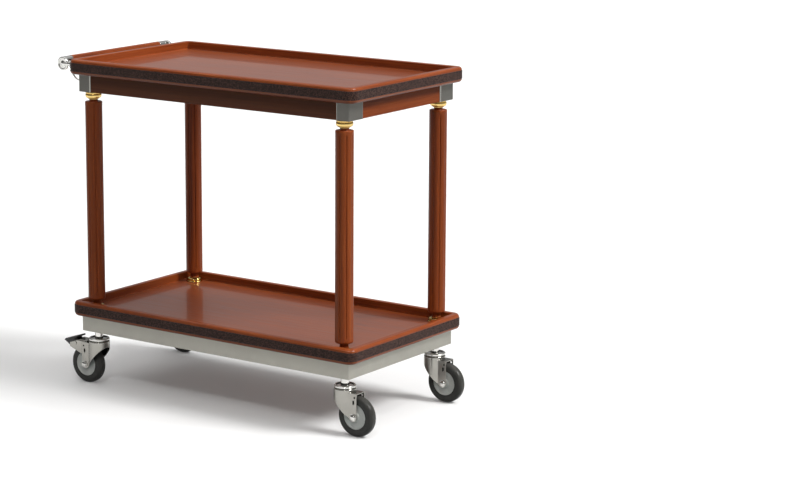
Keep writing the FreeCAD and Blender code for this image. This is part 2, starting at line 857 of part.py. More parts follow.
def brake_pedal():
    """A moulded pedal: boss on the pin, wedge between the cheeks with its release spur, wider tread."""
    web = fork_inner_half_width - pedal_side_gap
    wide = pedal_tread_half_width
    start_x = pedal_pin_x + pedal_heel
    end_x = pedal_pin_x + pedal_reach
    tread_x = end_x - pedal_tread_length

    def top_at(x):
        return pedal_pin_z + pedal_rise - math.tan(math.radians(pedal_slope_degrees)) * (x - start_x)

    nose = [(end_x, top_at(end_x) - pedal_round), (end_x - pedal_round, top_at(end_x - pedal_round))]
    boss = rod(pedal_boss_radius, point(pedal_pin_x, -web, pedal_pin_z),
               point(pedal_pin_x, web, pedal_pin_z))
    arm = side_prism((pedal_pin_x, pedal_pin_z - pedal_boss_radius), [
        (pedal_pin_x + spur_reach, pedal_pin_z - spur_drop),
        (end_x, top_at(end_x) - pedal_thickness)] + nose + [
        (start_x, top_at(start_x)),
        (pedal_pin_x, pedal_pin_z + pedal_boss_radius)], -web, web)
    tread = side_prism((tread_x, top_at(tread_x) - pedal_thickness), [
        (end_x, top_at(end_x) - pedal_thickness)] + nose + [
        (tread_x, top_at(tread_x))], -wide, wide)
    return arm.fuse([boss, tread]).cut(across_fork(pedal_pin_radius + running_gap, pedal_pin_x, pedal_pin_z))


def make_casters(nodes):
    nodes["caster_stems"] = copies(caster_stem(), four_places(caster_x, caster_y))
    for name, (sx, sy) in corners.items():
        pieces = {
            "fork": fork(),
            "axle": axle(),
            "wheel_bush": wheel_bush(),
            "hub": hub(),
            "tyre": tyre()}
        if name in braked_corners:
            pieces["brake_housing"] = Part.makeCompound([brake_housing(), pedal_pin()])
            pieces["brake_pedal"] = brake_pedal()
        for piece, shape in pieces.items():
            if sx < 0:
                shape.rotate(ORIGIN, Z, 180)
            nodes[f"{piece}_{name}"] = moved(shape, sx * caster_x, sy * caster_y)


# Handle
def along_y(shape, x, y, z, side):
    """Lays a piece made about Z along Y: its base goes to y and it runs outwards."""
    copy = shape.copy()
    copy.rotate(ORIGIN, X, -90 * side)
    copy.translate(point(x, y, z))
    return copy


def handle_bar():
    """A reeded bar with a round tenon at each end."""
    length = 2 * handle_half_length
    face = reeded_section(handle_radius, handle_groove_width, handle_groove_depth, handle_reed_fall,
                          handle_reed_count)
    grip = face.extrude(point(0, 0, length))
    tenons = upright(tenon_radius, -tenon_length, length + tenon_length)
    return along_y(grip.fuse(tenons), handle_x, -handle_half_length, handle_z, 1)


def ferrule():
    return upright(ferrule_radius, 0, ferrule_length).cut(upright(tenon_radius, 0, tenon_length))


def handle_eye():
    """The turned eye of a bracket, about Z: a round rim, a thinner web and a domed button on each face."""
    half = eye_thickness / 2
    web = half - eye_dish
    rim_inner = eye_radius - eye_rim
    rim_crest = eye_radius - eye_rim / 2
    out, height = dome(eye_button_radius, eye_dish)
    return turned((0, half), [
        ((out, web + height), (eye_button_radius, web)),
        (rim_inner, web),
        ((rim_crest, half), (eye_radius, web)),
        (eye_radius, -web),
        ((rim_crest, -half), (rim_inner, -web)),
        (eye_button_radius, -web),
        ((out, -web - height), (0, -half))])


def stay_path(y):
    """From the eye's rim down a slope, round one bend and level to the corner block."""
    foot_x = -apron_half_length - stay_foot
    corner = point(-apron_half_length - stay_run, y, stay_foot_z)
    top = point(eye_x + stay_start, y, eye_z - stay_start_drop)
    down = (corner - top).normalize()
    setback = stay_bend_radius * math.tan(math.acos(down.x) / 2)
    begin = corner - down * setback
    end = corner + X * setback
    centre = end + Z * stay_bend_radius
    middle = centre + ((begin - centre) + (end - centre)).normalize() * stay_bend_radius
    return Part.Wire([
        Part.LineSegment(top, begin).toShape(),
        Part.Arc(begin, middle, end).toShape(),
        Part.LineSegment(end, point(foot_x, y, stay_foot_z)).toShape()])


def stay_screw(side):
    """A screw from inside the corner block into the stay's foot."""
    y = side * bracket_y
    wall = -apron_half_length + block_wall
    seat = point(wall, y, stay_foot_z)
    head = rod(stay_screw_head_radius, seat, point(wall + stay_screw_head, y, stay_foot_z))
    return head.fuse(rod(stay_screw_radius, point(wall - stay_screw_bite, y, stay_foot_z), seat))


def handle_bracket(side):
    """One cast bracket: eye with a boss for the ferrule, post with its stud, and a bent stay."""
    y = side * bracket_y
    eye = along_y(handle_eye(), eye_x, y, eye_z, side)
    boss = rod(ferrule_radius, point(handle_x, side * ferrule_end, handle_z), point(handle_x, y, handle_z))
    seat = point(-half_length, y, eye_z)
    post = rod(post_radius, point(eye_x, y, eye_z), seat)
    flange = rod(post_flange_radius, point(-half_length - post_flange, y, eye_z), seat)
    stud = rod(post_stud_radius, seat, point(-half_length + post_stud_length, y, eye_z))
    path = stay_path(y)
    start = path.Vertexes[0].Point
    section = Part.Wire([Part.makeCircle(stay_radius, start, path.Vertexes[1].Point - start)])
    stay = path.makePipeShell([section], True, False)
    foot = rod(stay_foot_radius, point(-apron_half_length - stay_foot, y, stay_foot_z),
               point(-apron_half_length, y, stay_foot_z))
    return eye.fuse([boss, post, flange, stud, stay, foot]).cut(stay_screw(side))


def make_handle(nodes):
    nodes["handle_bar"] = handle_bar()
    ferrules = [along_y(ferrule(), handle_x, side * handle_half_length, handle_z, side)
                for side in (-1, 1)]
    nodes["handle_ferrules"] = Part.makeCompound(ferrules)
    nodes["handle_bracket_front"] = handle_bracket(-1)
    nodes["handle_bracket_back"] = handle_bracket(1)
    nodes["handle_screws"] = Part.makeCompound([stay_screw(side) for side in (-1, 1)])


def make_all():
    nodes = {}
    make_trays(nodes)
    make_apron(nodes)
    make_legs(nodes)
    make_fixings(nodes)
    make_chassis(nodes)
    make_casters(nodes)
    make_handle(nodes)
    return nodes


os.makedirs("parts", exist_ok=True)
for node, shape in make_all().items():
    moved(shape, -origin_x).exportStep(f"parts/{node}.step")
    print(node, len(shape.Solids), round(shape.Volume), shape.isValid())
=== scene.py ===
import json
import math

import bmesh
import bpy
from mathutils import Matrix, Vector


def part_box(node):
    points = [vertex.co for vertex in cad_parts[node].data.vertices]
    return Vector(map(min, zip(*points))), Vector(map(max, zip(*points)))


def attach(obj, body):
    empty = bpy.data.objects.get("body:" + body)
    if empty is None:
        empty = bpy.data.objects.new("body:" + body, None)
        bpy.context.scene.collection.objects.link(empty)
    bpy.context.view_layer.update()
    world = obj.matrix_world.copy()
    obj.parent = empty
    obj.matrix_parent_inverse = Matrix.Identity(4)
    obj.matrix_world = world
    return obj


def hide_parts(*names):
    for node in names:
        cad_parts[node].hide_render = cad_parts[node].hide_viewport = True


# The looks of a serving trolley: finishes for its construction, softened edges on its metal and
# wood, reeded legs and bar, turned collars, a folded chassis, small coves inside the trays and a
# grained bumper band. Lengths are in metres, and angles in degrees unless they are called turns.

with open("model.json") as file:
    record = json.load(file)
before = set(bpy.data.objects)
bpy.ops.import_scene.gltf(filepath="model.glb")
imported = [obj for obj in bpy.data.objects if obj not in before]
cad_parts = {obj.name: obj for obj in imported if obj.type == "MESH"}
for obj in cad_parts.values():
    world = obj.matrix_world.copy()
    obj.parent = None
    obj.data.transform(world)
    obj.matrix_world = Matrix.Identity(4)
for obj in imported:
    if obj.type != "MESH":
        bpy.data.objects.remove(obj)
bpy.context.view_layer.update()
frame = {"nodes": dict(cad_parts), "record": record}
nodes = frame["nodes"]

millimetre = 0.001
quarter_turn = math.radians(90)
corners = ("fl", "fr", "bl", "br")
braked_corners = ("fl", "bl")
sides = ("front", "back", "handle_end", "far_end")
trays = ("upper", "lower")

# Camera, in the picture's own pixels
picture_width = 800
picture_height = 480
focal_pixels = 2466.1
principal_pixel = (292.5, 211.2)
sensor_width = 36.0
camera_place = (3.6993, -4.8034, 1.6472)
camera_yaw = 36.840
camera_pitch = 11.042
camera_roll = -0.107
camera_reach = 200.0

# Light: heights are the upward share of a direction, 0 at the horizon and 1 overhead
sun_azimuth = 13.0
sun_elevation = 46.0
sun_angle = 21.0
sun_strength = 2.9
horizon_level = 0.28
zenith_level = 1.10
zenith_heights = (0.45, 0.95)
glow_level = 0.06
glow_heights = (0.14, 0.22)
dark_side = (-0.60, -0.80, 0.0)
dark_shares = (0.15, 0.60)
dark_level = 0.40
overhead_heights = (0.45, 0.85)
softbox_azimuth = -60.0
softbox_elevation = 48.0
softbox_edge = 4.5
softbox_core = 3.0
softbox_level = 34.0

# Floor, as the camera and reflections see it and as it throws light back
floor_half = 40.0
floor_seen = (0.80, 0.80, 0.795)
floor_bounce = (0.15, 0.175, 0.18)
floor_lift = 0.09

# Colours, linear
white = (1.0, 1.0, 1.0)
wood_dark = (0.120, 0.022, 0.006)
wood_middle = (0.245, 0.050, 0.011)
wood_light = (0.335, 0.078, 0.018)
# Painted shade: a flat dark brown mixed into the front and back rails, standing in for the shade under the
# upper tray
painted_rail_shade = (0.090, 0.048, 0.032)
block_steel = (0.175, 0.170, 0.155)
chassis_steel = (0.450, 0.438, 0.392)
fork_steel = (0.36, 0.35, 0.32)
# Paler, smoother steel for the rounded block edges beside the rails: partly real polish, partly painted
# highlight
edge_highlight_steel = (0.28, 0.272, 0.25)
# Painted shade: a flat near-black for the recesses in the tops of the swivel caps, under the caster plates
race_grease = (0.030, 0.028, 0.025)
polished_steel = (0.72, 0.71, 0.68)
plain_zinc = (0.55, 0.55, 0.54)
brass_yellow = (0.80, 0.57, 0.20)
band_low = (0.020, 0.009, 0.007)
band_high = (0.078, 0.036, 0.026)
tyre_grey = (0.050, 0.0485, 0.044)
hub_grey = (0.57, 0.57, 0.535)
nylon_white = (0.55, 0.54, 0.50)
pedal_black = (0.020, 0.020, 0.020)

# Noise scales per metre, along and across a grain
figure_grain = (1.6, 14.0)
streak_grain = (5.0, 190.0)
pore_grain = (60.0, 1500.0)
brush_grain = (9.0, 1700.0)

# Noise scales per metre, alike in all directions
wear_scale = 11.0
cloud_scale = 18.0
smear_scale = 34.0
spread_scale = 260.0
fine_scale = 420.0
cell_scale = 420.0

# Varnish, and the shares of the figure and of the pores in the wood's tone
varnish_roughness = 0.06
varnish_ior = 1.45
figure_share = 0.30
pore_share = 0.40

# How much duller or paler the worn places are, and how far the roughness of mouldings spreads
brushed_dull = 0.86
polished_dull = 0.90
moulded_worn = 1.30
moulded_span = (-0.05, 0.07)

# The share and the two colours among a colour mix's inputs, and the mix among its outputs
mix_inputs = (0, 6, 7)
mix_output = 2


class Nodes:
    """Short ways to add and join the nodes of a material or a world."""

    def __init__(self, owner):
        owner.use_nodes = True
        self.tree = owner.node_tree

    def put(self, socket, value):
        """Joins the socket to another node's output, or gives it a plain value."""
        if isinstance(value, bpy.types.NodeSocket):
            self.tree.links.new(value, socket)
        elif socket.type == "RGBA" and len(value) == 3:
            socket.default_value = (*value, 1)
        else:
            socket.default_value = value

    def add(self, kind, settings=None, **inputs):
        """A new node with its settings and inputs. A space in an input's name is written as _."""
        node = self.tree.nodes.new("ShaderNode" + kind)
        for name, value in (settings or {}).items():
            setattr(node, name, value)
        for name, value in inputs.items():
            self.put(node.inputs[name.replace("_", " ")], value)
        return node

    def maths(self, operation, *values):
        """The result of one operation on plain numbers or other nodes' outputs."""
        node = self.add("Math", {"operation": operation})
        for socket, value in zip(node.inputs, values):
            self.put(socket, value)
        return node.outputs[0]

    def mean(self, first, second, share=0.5):
        """The first value's share, and the rest from the second."""
        part = self.maths("MULTIPLY", first, share)
        rest = self.maths("MULTIPLY", second, 1 - share)
        return self.maths("ADD", part, rest)

    def dot(self, first, second):
        """How far one direction leans towards another: 1 where they are the same."""
        node = self.add("VectorMath", {"operation": "DOT_PRODUCT"})
        self.put(node.inputs[0], first)
        self.put(node.inputs[1], second)
        return node.outputs["Value"]

    def fade(self, value, low, high, to_low=0.0, to_high=1.0):
        """The value's run from low to high, turned into a smooth run from to_low to to_high."""
        node = self.add("MapRange", {"interpolation_type": "SMOOTHSTEP"})
        for socket, number in zip(node.inputs, (value, low, high, to_low, to_high)):
            self.put(socket, number)
        return node.outputs[0]

    def blend(self, share, first, second):
        """A colour between two colours."""
        node = self.add("Mix", {"data_type": "RGBA"})
        for number, value in zip(mix_inputs, (share, first, second)):
            self.put(node.inputs[number], value)
        return node.outputs[mix_output]

    def noise(self, scales, detail, roughness, offset=0.0):
        """Noise in object space, with its own scale, per metre, along each axis."""
        place = self.add("TexCoord").outputs["Object"]
        stretched = self.add("Mapping", None, Vector=place, Scale=scales, Location=(offset, offset, offset))
        return self.add("TexNoise", None, Vector=stretched.outputs[0], Scale=1.0, Detail=detail,
                        Roughness=roughness).outputs[0]


class Surface(Nodes):
    """A material with one principled shader."""

    def __init__(self, name, metallic=0.0, **fixed):
        self.material = bpy.data.materials.new(name)
        super().__init__(self.material)
        self.shader = self.tree.nodes["Principled BSDF"]
        self.set(Metallic=metallic, **fixed)

    def set(self, **inputs):
        """Sets the shader's inputs. A space in an input's name is written as _."""
        for name, value in inputs.items():
            self.put(self.shader.inputs[name.replace("_", " ")], value)

    def bump(self, height, distance, strength):
        """Fine relief from a height, whose whole depth is the distance."""
        normal = self.add("Bump", None, Height=height, Distance=distance, Strength=strength)
        self.set(Normal=normal.outputs[0])


def along(axis, lengthwise, crosswise):
    """Noise scales for streaks that run along one axis."""
    return tuple(lengthwise if letter == axis else crosswise for letter in "XYZ")


def even(scale):
    """Noise scales alike along all axes."""
    return (scale, scale, scale)


def scaled(colour, factor):
    """A darker or a paler tone of a colour."""
    return tuple(factor * value for value in colour)


def varnished_wood(name, axis, coat, gloss, painted_shade_share=0.0):
    """Red varnished mahogany: broad figure, fine streaks and short dark pores along the grain, and where
    asked a share of painted shade, a flat dark brown that darkens the wood.
    """
    wood = Surface(name, Coat_Weight=coat, Coat_Roughness=varnish_roughness, Coat_IOR=varnish_ior,
                   Specular_IOR_Level=gloss)
    figure = wood.noise(along(axis, *figure_grain), detail=3.0, roughness=0.5)
    streaks = wood.noise(along(axis, *streak_grain), detail=5.0, roughness=0.62, offset=3.1)
    pores = wood.noise(along(axis, *pore_grain), detail=2.0, roughness=0.5, offset=7.7)
    pores = wood.fade(pores, low=0.60, high=0.74)
    tone = wood.mean(figure, streaks, figure_share)
    base = wood.blend(wood.fade(tone, low=0.25, high=0.50), wood_dark, wood_middle)
    base = wood.blend(wood.fade(tone, low=0.46, high=0.72), base, wood_light)
    base = wood.blend(wood.maths("MULTIPLY", pores, pore_share), base, wood_dark)
    # Painted shade: mixes in the flat dark brown by the given share
    base = wood.blend(painted_shade_share, base, painted_rail_shade)
    wood.set(Base_Color=base, Roughness=wood.fade(streaks, low=0.3, high=0.7, to_low=0.30, to_high=0.42))
    wood.bump(wood.maths("SUBTRACT", streaks, pores), distance=0.00012, strength=0.35)
    return wood.material


def brushed_metal(name, axis, colour, smooth, rough):
    """Brushed sheet: fine lines along one axis and faint cloudy wear."""
    metal = Surface(name, metallic=1.0)
    lines = metal.noise(along(axis, *brush_grain), detail=3.0, roughness=0.6)
    wear = metal.noise(even(wear_scale), detail=4.0, roughness=0.6, offset=2.3)
    shade = metal.fade(metal.mean(lines, wear), low=0.3, high=0.7)
    metal.set(Base_Color=metal.blend(shade, scaled(colour, brushed_dull), colour),
              Roughness=metal.fade(lines, low=0.3, high=0.7, to_low=smooth, to_high=rough))
    metal.bump(lines, distance=0.00005, strength=0.3)
    return metal.material


def smooth_metal(name, colour, smooth, rough):
    """Polished or plated metal with faint smears."""
    metal = Surface(name, metallic=1.0)
    smear = metal.noise(even(smear_scale), detail=5.0, roughness=0.6)
    fine = metal.noise(even(fine_scale), detail=2.0, roughness=0.5, offset=4.4)
    shade = metal.fade(smear, low=0.35, high=0.65)
    metal.set(Base_Color=metal.blend(shade, scaled(colour, polished_dull), colour),
              Roughness=metal.fade(smear, low=0.3, high=0.7, to_low=smooth, to_high=rough))
    metal.bump(fine, distance=0.00002, strength=0.25)
    return metal.material


def moulded(name, colour, roughness, grain, depth, gloss=0.5):
    """Moulded plastic, rubber or grease: a fine grain and a slightly uneven tone."""
    plastic = Surface(name, Specular_IOR_Level=gloss)
    pebble = plastic.noise(even(grain), detail=3.0, roughness=0.55)
    cloud = plastic.noise(even(cloud_scale), detail=4.0, roughness=0.6, offset=1.9)
    shade = plastic.fade(cloud, low=0.35, high=0.7)
    plastic.set(Base_Color=plastic.blend(shade, colour, scaled(colour, moulded_worn)),
                Roughness=plastic.fade(cloud, low=0.3, high=0.7, to_low=roughness + moulded_span[0],
                                       to_high=roughness + moulded_span[1]))
    plastic.bump(pebble, depth, strength=0.5)
    return plastic.material


def grained_band(name):
    """Dark band with a small irregular grain, paler on the tops of the grain."""
    band = Surface(name, Specular_IOR_Level=0.20)
    place = band.add("TexCoord").outputs["Object"]
    cells = band.add("TexVoronoi", {"feature": "SMOOTH_F1"}, Vector=place, Scale=cell_scale, Smoothness=0.6)
    spread = band.noise(even(spread_scale), detail=3.0, roughness=0.6)
    tops = band.maths("SUBTRACT", 1.0, cells.outputs["Distance"])
    share = band.fade(band.mean(tops, spread), low=0.42, high=0.66)
    band.set(Base_Color=band.blend(share, band_low, band_high),
             Roughness=band.fade(tops, low=0.3, high=0.9, to_low=0.62, to_high=0.48))
    band.bump(tops, distance=0.0004, strength=0.7)
    return band.material


materials = {
    "deck": varnished_wood("mahogany_deck", "X", coat=0.50, gloss=0.60),
    "edge_x": varnished_wood("mahogany_edge_along_x", "X", coat=0.45, gloss=0.08),
    "edge_y": varnished_wood("mahogany_edge_along_y", "Y", coat=0.45, gloss=0.08),
    # The front and back rails take painted shade, darker than the rails along y
    "wood_x_painted_shade": varnished_wood("mahogany_rail_along_x_painted_shade", "X", coat=0.02, gloss=0.06, painted_shade_share=0.70),
    "wood_y": varnished_wood("mahogany_rail_along_y", "Y", coat=0.02, gloss=0.06),
    "wood_z": varnished_wood("mahogany_leg", "Z", coat=0.02, gloss=0.13),
    "block": brushed_metal("corner_block_steel", "Z", block_steel, smooth=0.60, rough=0.70),
    # Painted highlight: paler, smoother steel on the rounded edges beside the rails
    "block_edge_highlight": smooth_metal("bare_steel_edge_painted_highlight", edge_highlight_steel, smooth=0.16, rough=0.24),
    "chassis_x": brushed_metal("chassis_steel_along_x", "X", chassis_steel, smooth=0.56, rough=0.66),
    "chassis_y": brushed_metal("chassis_steel_along_y", "Y", chassis_steel, smooth=0.56, rough=0.66),
    "fork": smooth_metal("fork_steel", fork_steel, smooth=0.10, rough=0.18),
    "chrome": smooth_metal("polished_steel", polished_steel, smooth=0.04, rough=0.10),
    "zinc": smooth_metal("zinc_plating", plain_zinc, smooth=0.25, rough=0.38),
    # Painted shade for the cap recesses under the caster plates
    "race": moulded("greased_race", race_grease, roughness=0.30, grain=700.0, depth=0.00004),
    "brass": smooth_metal("polished_brass", brass_yellow, smooth=0.08, rough=0.16),
    "band": grained_band("bumper_band"),
    "tyre": moulded("tyre_rubber", tyre_grey, roughness=0.18, grain=900.0, depth=0.00003, gloss=0.16),
    "hub": moulded("hub_plastic", hub_grey, roughness=0.20, grain=1400.0, depth=0.00002),
    "nylon": moulded("bush_nylon", nylon_white, roughness=0.40, grain=1400.0, depth=0.00003),
    "pedal": moulded("pedal_plastic", pedal_black, roughness=0.34, grain=1100.0, depth=0.00006),
}

# The first start that fits a node's name gives its material
finish_rules = (("upper_deck", "deck"), ("lower_deck", "deck"), ("upper_moulding_front", "edge_x"),
                ("upper_moulding_back", "edge_x"), ("lower_moulding_front", "edge_x"),
                ("lower_moulding_back", "edge_x"), ("upper_moulding", "edge_y"),
                ("lower_moulding", "edge_y"), ("apron_rail_front", "wood_x_painted_shade"),
                ("apron_rail_back", "wood_x_painted_shade"), ("apron_rail", "wood_y"),
                ("leg_collars", "brass"), ("leg_", "wood_z"), ("handle_bar", "edge_y"),
                ("upper_bumper", "band"), ("lower_bumper", "band"), ("corner_block", "block"),
                ("chassis_frame", "chassis_x"), ("caster_plates", "chassis_x"), ("caster_stems", "chrome"),
                ("fork", "fork"), ("brake_housing", "fork"), ("brake_pedal", "pedal"), ("axle", "chrome"),
                ("wheel_bush", "nylon"), ("hub", "hub"), ("tyre", "tyre"), ("handle_screws", "zinc"),
                ("handle_", "chrome"), ("tie_rods", "zinc"), ("frame_nuts", "zinc"),
                ("chassis_screws", "zinc"))


def finish_of(name):
    """The material that a node or its stand-in takes."""
    for start, key in finish_rules:
        if name.startswith(start):
            return materials[key]
    raise KeyError(name)


def body_of(name):
    """The body that a node moves with."""
    for body, members in frame["record"]["behaviour"]["bodies"].items():
        if name in members:
            return body
    raise KeyError(name)


def dress(name):
    """Gives a CAD node its finish."""
    mesh = nodes[name].data
    mesh.materials.clear()
    mesh.materials.append(finish_of(name))


def new_piece(name, mesh):
    """A new object in the scene."""
    piece = bpy.data.objects.new(name, mesh)
    bpy.context.scene.collection.objects.link(piece)
    return piece


def stand_in(piece, name):
    """The piece takes the place, body and finish of a CAD node."""
    piece.data.materials.append(finish_of(name))
    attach(piece, body_of(name))
    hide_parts(name)
    return piece


# Angles from which an edge stays sharp in smooth shading
crease = 40
reed_crease = 50


def smooth_by_angle(mesh, degrees):
    """Smooth shading, apart from edges sharper than the angle."""
    mesh.polygons.foreach_set("use_smooth", [True] * len(mesh.polygons))
    mesh.set_sharp_from_angle(angle=math.radians(degrees))


def finished_mesh(name, body, degrees=crease):
    """The body as a mesh, shaded smooth."""
    mesh = bpy.data.meshes.new(name)
    body.to_mesh(mesh)
    body.free()
    smooth_by_angle(mesh, degrees)
    return mesh


def middle_of(low, high, axes=2):
    """The middle of a box along its first axes."""
    return [(low[axis] + high[axis]) / 2 for axis in range(axes)]


def half_of(low, high):
    """Half the length and half the width of a box."""
    return [(high[axis] - low[axis]) / 2 for axis in range(2)]


# Softened edges
weld_distance = 0.005 * millimetre
flat_turn = math.radians(0.4)
sharp_turn = math.radians(32)
fine_edge = 0.3 * millimetre
plate_edge = 0.4 * millimetre
steel_edge = 0.5 * millimetre
rail_edge = 0.6 * millimetre
pedal_edge = 1.0 * millimetre
pedal_segments = 3


def softened(name, width, segments=2):
    """A copy of a node with its sharp edges rounded off."""
    body = bmesh.new()
    body.from_mesh(nodes[name].data)
    bmesh.ops.remove_doubles(body, verts=body.verts, dist=weld_distance)
    bmesh.ops.dissolve_limit(body, angle_limit=flat_turn, verts=body.verts, edges=body.edges)
    edges = [edge for edge in body.edges
             if len(edge.link_faces) == 2 and edge.calc_face_angle(0) > sharp_turn]
    bmesh.ops.bevel(body, geom=edges, offset=width, offset_type="OFFSET", segments=segments, profile=0.5,
                    affect="EDGES", clamp_overlap=False, loop_slide=True)
    piece = new_piece(name + "_softened", finished_mesh(name + "_softened", body))
    weighted = piece.modifiers.new("weighted_normals", "WEIGHTED_NORMAL")
    weighted.keep_sharp = True
    return stand_in(piece, name)


# Faces of softened pieces that take a second finish
block_edge_width = 3.0 * millimetre
block_edge_lean = 0.03
recess_low = 120.0 * millimetre
recess_high = 122.9 * millimetre
recess_inner = 10.9 * millimetre
recess_outer = 22.0 * millimetre


def make_block(name):
    """A softened corner block with smoother bare steel on the rounded edges beside the rails, paler than
    the block as a painted highlight.
    """
    piece = softened(name, steel_edge)
    low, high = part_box(name)
    inner_x = min(low[0], high[0], key=abs)
    inner_y = min(low[1], high[1], key=abs)
    for face in piece.data.polygons:
        beside_rail = min(abs(face.center.x - inner_x), abs(face.center.y - inner_y)) < block_edge_width
        rounded = min(abs(face.normal.x), abs(face.normal.y)) > block_edge_lean
        if beside_rail and rounded:
            face.material_index = 1
    piece.data.materials.append(materials["block_edge_highlight"])


def make_stems(name):
    """Polished caster stems, with painted shade, a flat near-black, in the recesses in the tops of their
    swivel caps.
    """
    piece = softened(name, plate_edge)
    places = []
    for joint in frame["record"]["behaviour"]["joints"]:
        if joint["name"].startswith("caster_swivel"):
            places.append(joint["pos_m"][:2])
    for face in piece.data.polygons:
        out = min(math.hypot(face.center.x - x, face.center.y - y) for x, y in places)
        if recess_low < face.center.z < recess_high and recess_inner < out < recess_outer:
            face.material_index = 1
    piece.data.materials.append(materials["race"])


# Sections carried round a rounded rectangle
corner_steps = 8


def ring_path(half_x, half_y, radius):
    """Points round a rounded rectangle, as many at each corner whatever its radius."""
    points = []
    for quarter, (side_x, side_y) in enumerate(((1, 1), (-1, 1), (-1, -1), (1, -1))):
        for step in range(corner_steps + 1):
            turn = quarter_turn * (quarter + step / corner_steps)
            points.append((side_x * (half_x - radius) + radius * math.cos(turn),
                           side_y * (half_y - radius) + radius * math.sin(turn)))
    return points


def swept_ring(name, low, high, section, outer_radius, inner_radius):
    """A closed section of (inset, height) points, carried round the box's outline.

    Faces that run along x take the piece's first material, and faces along y its second.
    """
    middle = middle_of(low, high)
    half = half_of(low, high)
    body = bmesh.new()
    rings = []
    for inset, height in section:
        radius = max(outer_radius - inset, inner_radius)
        path = ring_path(half[0] - inset, half[1] - inset, radius)
        rings.append([body.verts.new((middle[0] + x, middle[1] + y, height)) for x, y in path])
    for first, second in zip(rings, rings[1:] + rings[:1]):
        for number in range(len(first)):
            after = (number + 1) % len(first)
            face = body.faces.new((first[number], first[after], second[after], second[number]))
            quarter, step = divmod(number, corner_steps + 1)
            along_x = (quarter % 2 == 0) == (step >= corner_steps / 2)
            face.material_index = 0 if along_x else 1
    bmesh.ops.recalc_face_normals(body, faces=body.faces)
    return new_piece(name, finished_mesh(name, body))


def quarter_round(centre, radius, start_degrees, rows):
    """Points of a quarter circle in (inset, height)."""
    turns = [math.radians(start_degrees + 90 * row / rows) for row in range(rows + 1)]
    return [(centre[0] + radius * math.cos(turn), centre[1] + radius * math.sin(turn)) for turn in turns]


# Chassis
chassis_sheet = 2.0 * millimetre
chassis_fold = 1.6 * millimetre
chassis_corner = 3.0 * millimetre
top_flange = 45.0 * millimetre
bottom_flange = 15.0 * millimetre
sheet_edge = 0.3 * millimetre
fold_rows = 5


def make_chassis(name):
    """The folded sheet: a wall between two flanges, rounded at its folds and edges."""
    low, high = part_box(name)
    bottom = low[2]
    top = high[2]
    sheet = chassis_sheet
    section = [(bottom_flange - sheet_edge, bottom)]
    section += reversed(quarter_round((chassis_fold, bottom + chassis_fold), chassis_fold, 180, fold_rows))
    section += reversed(quarter_round((chassis_fold, top - chassis_fold), chassis_fold, 90, fold_rows))
    section += [(top_flange - sheet_edge, top), (top_flange, top - sheet_edge),
                (top_flange, top - sheet + sheet_edge), (top_flange - sheet_edge, top - sheet),
                (sheet + sheet_edge, top - sheet), (sheet, top - sheet - sheet_edge),
                (sheet, bottom + sheet + sheet_edge), (sheet + sheet_edge, bottom + sheet),
                (bottom_flange - sheet_edge, bottom + sheet), (bottom_flange, bottom + sheet - sheet_edge),
                (bottom_flange, bottom + sheet_edge)]
    piece = swept_ring(name + "_folded", low, high, section, chassis_corner, chassis_corner - sheet)
    stand_in(piece, name)
    piece.data.materials.append(materials["chassis_y"])


# Coves inside the trays
deck_corner = 4.0 * millimetre
cove_radius = 2.4 * millimetre
cove_hidden = 0.4 * millimetre
cove_rows = 5


def make_cove(tray):
    """The small hollow bead that closes the joint between a deck and the inside of its rim."""
    low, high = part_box(tray + "_deck")
    top = high[2]
    section = [(-cove_hidden, top + cove_radius), (0.0, top + cove_radius)]
    section += quarter_round((cove_radius, top + cove_radius), cove_radius, 180, cove_rows)[1:]
    section += [(cove_radius, top - cove_hidden), (-cove_hidden, top - cove_hidden)]
    piece = swept_ring(tray + "_deck_cove", low, high, section, deck_corner, deck_corner - cove_radius)
    piece.data.materials.append(materials["edge_x"])
    piece.data.materials.append(materials["edge_y"])
    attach(piece, "frame")


# Reeding, for the legs and the handle bar
groove_steps = 10
crest_steps = 10
end_steps = 6


def reed_turns(count, radius, groove_width):
    """Turns round a reeded piece, close together in the grooves, with the middle of a groove on 0."""
    pitch = 2 * math.pi / count
    groove = groove_width / radius
    crest = pitch - groove
    turns = []
    for reed in range(count):
        start = reed * pitch
        turns += [start + groove * (step / groove_steps - 0.5) for step in range(groove_steps)]
        turns += [start + groove / 2 + crest * step / crest_steps for step in range(crest_steps)]
    return turns


def reed_radius(turn, count, radius, groove_width, groove_depth, fall, share):
    """Distance from the axis: round reeds between narrow grooves, where share is 1, or a plain round."""
    pitch = 2 * math.pi / count
    off = abs((turn + pitch / 2) % pitch - pitch / 2)
    to_crest = 1 - off / (pitch / 2)
    half_width = groove_width / 2 * math.sqrt(max(0.0, 1 - (1 - share) ** 2))
    across = off * radius / half_width if half_width > 0 else 1.0
    groove = groove_depth * (1 + math.cos(math.pi * min(across, 1.0))) / 2 * share
    return radius - fall * to_crest ** 2 * share - groove


def arc_rows(start, end, radius_from, radius_to):
    """Rows of a quarter round between two heights, level at its start and upright at its end."""
    turns = [quarter_turn * row / end_steps for row in range(end_steps + 1)]
    return [(start + (end - start) * (1 - math.cos(turn)),
             radius_from + (radius_to - radius_from) * math.sin(turn), 0.0) for turn in turns]


def reeded_piece(name, rows, reeds):
    """A closed skin about Z: each row is (height, radius of the plain round, share of the reeding)."""
    turns = reed_turns(reeds["count"], reeds["radius"], reeds["groove_width"])
    body = bmesh.new()
    rings = []
    for height, plain, share in rows:
        ring = []
        for turn in turns:
            reach = plain + reed_radius(turn, share=share, **reeds) - reeds["radius"]
            ring.append(body.verts.new((reach * math.cos(turn), reach * math.sin(turn), height)))
        rings.append(ring)
    for low, high in zip(rings, rings[1:]):
        for number in range(len(turns)):
            after = (number + 1) % len(turns)
            body.faces.new((low[number], low[after], high[after], high[number]))
    body.faces.new(list(reversed(rings[0])))
    body.faces.new(rings[-1])
    return new_piece(name, finished_mesh(name, body, reed_crease))


